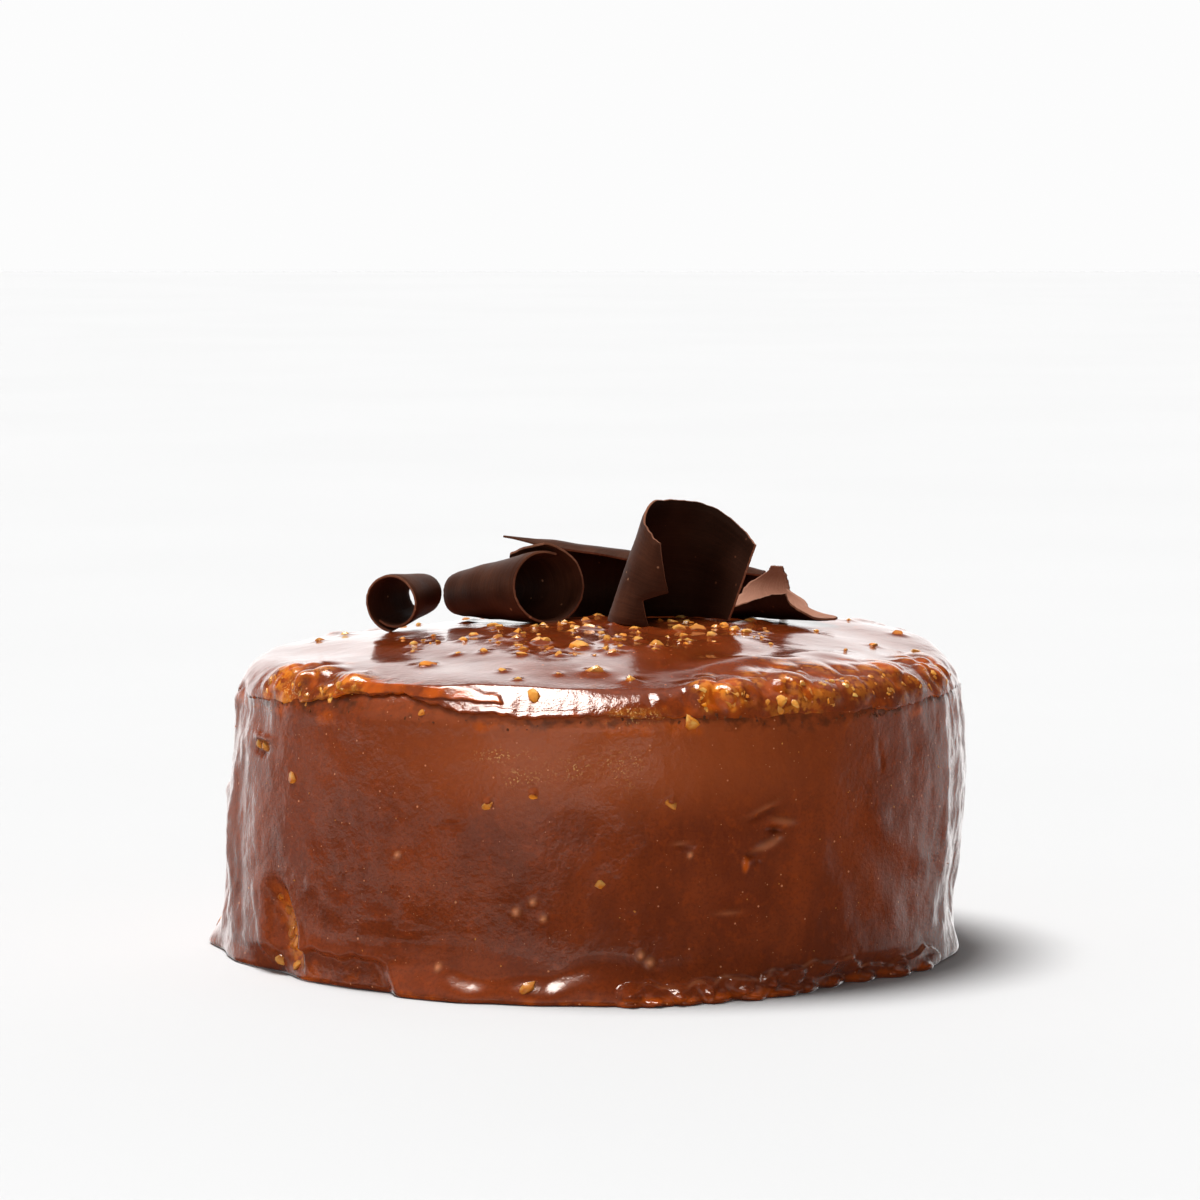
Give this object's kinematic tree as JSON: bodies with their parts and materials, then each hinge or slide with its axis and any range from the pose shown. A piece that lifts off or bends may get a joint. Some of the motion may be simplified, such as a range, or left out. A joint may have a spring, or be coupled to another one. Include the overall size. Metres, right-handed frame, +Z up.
{
  "type": "chocolate hazelnut cake",
  "caption": "Round cake under poured hazelnut chocolate glaze, with chopped nuts set in the glaze and rolled chocolate curls on its domed top.",
  "frame": {"origin": "middle of the flat underside", "axes": "+Z up, the side shown in the picture faces -Y, +X to the right of that side"},
  "size_m": [0.2154, 0.2191, 0.1272],
  "materials": {
    "glaze": "glossy poured milk chocolate glaze with chopped hazelnuts",
    "curl_chocolate": "satin dark chocolate",
    "hazelnut": "chopped roasted hazelnut under a thin coat of glaze"
  },
  "bodies": {
    "root": {"glazed_cake": "glaze", "curl_tall": "curl_chocolate", "curl_cone": "curl_chocolate", "curl_tube": "curl_chocolate", "curl_back": "curl_chocolate", "curl_trough": "curl_chocolate"}
  },
  "joints": []
}
